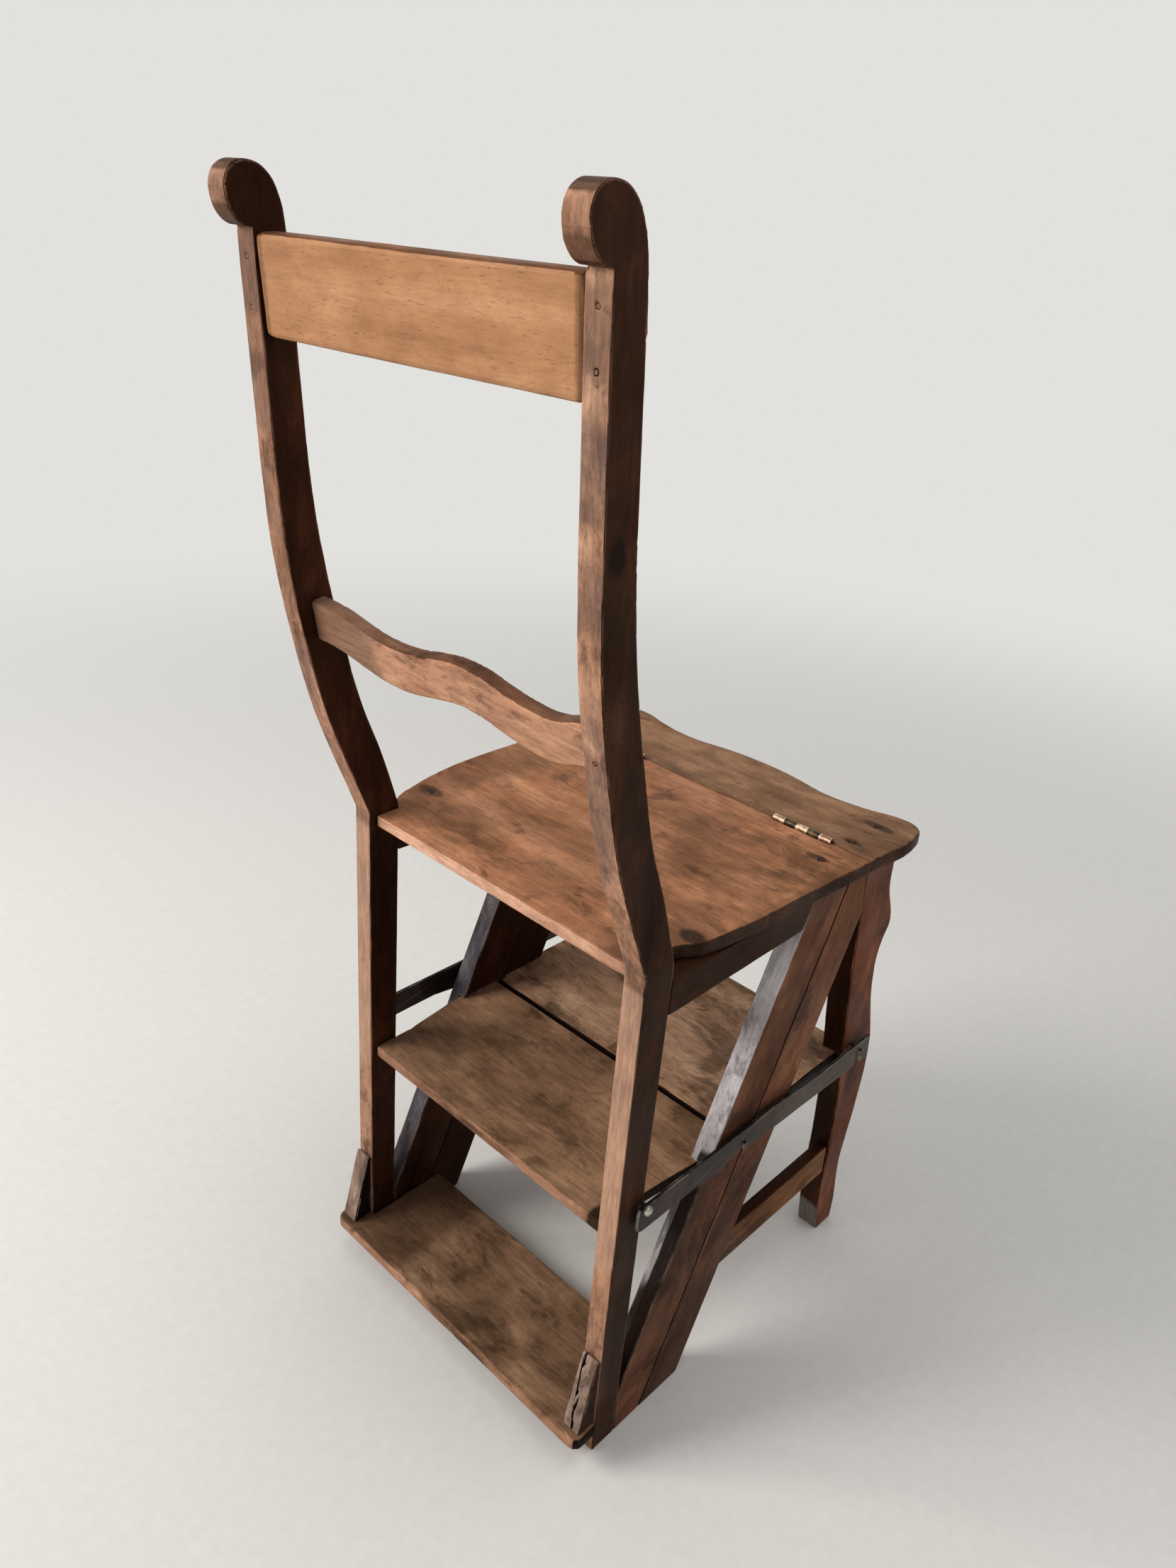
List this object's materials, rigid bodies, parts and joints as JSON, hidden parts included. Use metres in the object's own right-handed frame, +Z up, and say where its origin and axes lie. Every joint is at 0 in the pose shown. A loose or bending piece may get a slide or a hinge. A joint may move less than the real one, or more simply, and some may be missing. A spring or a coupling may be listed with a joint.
{
  "type": "step chair",
  "caption": "Wooden side chair whose rear half folds forward on seat hinges to become a step ladder, held shut by hooked iron side bars.",
  "frame": {"origin": "on the floor under the middle of the chair's width and depth", "axes": "+X to the sitter's left, -Y forward, +Z up"},
  "size_m": [0.3539, 0.4584, 0.9481],
  "materials": {
    "light_wood": "worn, faded wax on the rear-facing edges",
    "brown_wood": "old wax, satin",
    "seat_wood": "old wax with dark stains",
    "leg_wood": "old wax, satin",
    "tread_wood": "dry, foot-worn",
    "grey_wood": "bleached and bare on its upper edge",
    "iron": "dark wrought finish",
    "bright_metal": "rubbed bright",
    "hinge_brass": "rubbed bright",
    "dull_brass": "tarnished"
  },
  "bodies": {
    "front_frame": {"front_rail": "brown_wood", "left_catch_pin": "bright_metal", "left_front_leg": "leg_wood", "left_hinge_front_leaf": "hinge_brass", "left_hinge_pin": "dull_brass", "left_lower_stringer": "brown_wood", "left_side_stretcher": "leg_wood", "left_strip_nail_front": "iron", "left_strip_nail_rear": "iron", "middle_tread_front": "tread_wood", "right_catch_pin": "bright_metal", "right_front_leg": "leg_wood", "right_hinge_front_leaf": "hinge_brass", "right_hinge_pin": "dull_brass", "right_lower_stringer": "brown_wood", "right_side_stretcher": "leg_wood", "right_strip_nail_front": "iron", "right_strip_nail_rear": "iron", "seat_front_strip": "seat_wood"},
    "rear_frame": {"bottom_tread": "tread_wood", "crest_rail": "brown_wood", "left_board_nail_front": "iron", "left_board_nail_rear": "iron", "left_hinge_rear_leaf": "dull_brass", "left_pivot_screw": "bright_metal", "left_rest_pin": "bright_metal", "left_side_rail": "brown_wood", "left_stile": "light_wood", "left_stile_nail_low": "iron", "left_stile_nail_middle": "iron", "left_stile_nail_top": "iron", "left_tread_block": "light_wood", "left_upper_stringer": "grey_wood", "left_washer": "iron", "mid_rail": "light_wood", "middle_tread_rear": "tread_wood", "right_board_nail_front": "iron", "right_board_nail_rear": "iron", "right_hinge_rear_leaf": "dull_brass", "right_pivot_screw": "bright_metal", "right_rest_pin": "bright_metal", "right_side_rail": "brown_wood", "right_stile": "light_wood", "right_stile_nail_low": "iron", "right_stile_nail_middle": "iron", "right_stile_nail_top": "iron", "right_tread_block": "light_wood", "right_upper_stringer": "grey_wood", "right_washer": "iron", "seat_board": "seat_wood"},
    "right_hook": {"right_hook_bar": "iron"},
    "left_hook": {"left_hook_bar": "iron"}
  },
  "joints": [
    {"name": "step_fold", "type": "hinge", "parent": "front_frame", "child": "rear_frame", "pos_m": [0, -0.1303, 0.4755], "axis": [1, 0, 0], "range_deg": [0, 180]},
    {"name": "right_hook_swing", "type": "hinge", "parent": "rear_frame", "child": "right_hook", "pos_m": [-0.166, 0.1133, 0.2602], "axis": [-1, 0, 0], "range_deg": [0, 30]},
    {"name": "left_hook_swing", "type": "hinge", "parent": "rear_frame", "child": "left_hook", "pos_m": [0.166, 0.1133, 0.2602], "axis": [-1, 0, 0], "range_deg": [0, 30]}
  ]
}
